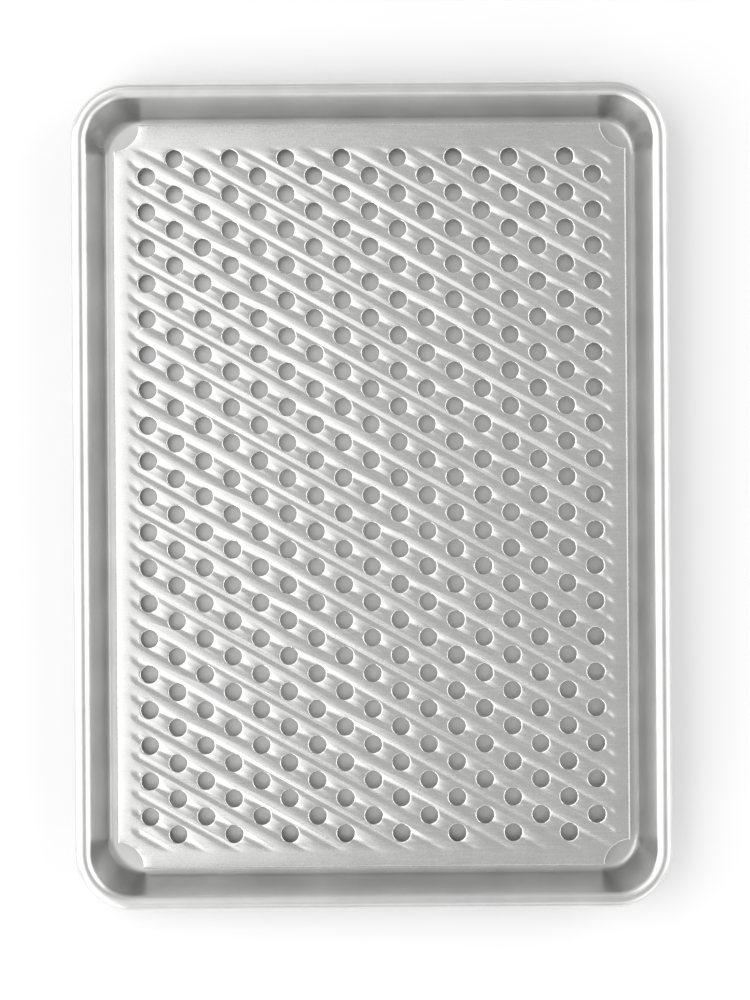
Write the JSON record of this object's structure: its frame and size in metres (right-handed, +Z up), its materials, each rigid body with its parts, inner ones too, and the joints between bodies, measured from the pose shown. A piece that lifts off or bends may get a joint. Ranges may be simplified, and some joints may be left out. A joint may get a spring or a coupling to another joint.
{
  "type": "perforated baking tray",
  "caption": "Rimmed rectangular baking pan with a lift-out ribbed, perforated insert that stands on its turned-down edges.",
  "frame": {"origin": "centre of the pan's underside, on the surface that it stands on", "axes": "+Z up out of the open pan, +Y along its length, +X across its width"},
  "size_m": [0.33, 0.457, 0.0254],
  "materials": {
    "pan_aluminium": "natural satin, lightly brushed",
    "insert_aluminium": "natural satin, lightly mottled",
    "galvanised_steel": "dull galvanised"
  },
  "bodies": {
    "pan": {"sheet_pan": "pan_aluminium", "rim_wire": "galvanised_steel"},
    "insert": {"perforated_insert": "insert_aluminium"}
  },
  "joints": [
    {"name": "insert_lift", "type": "slide", "parent": "pan", "child": "insert", "axis": [0, 0, 1], "range_m": [0, 0.08]}
  ]
}
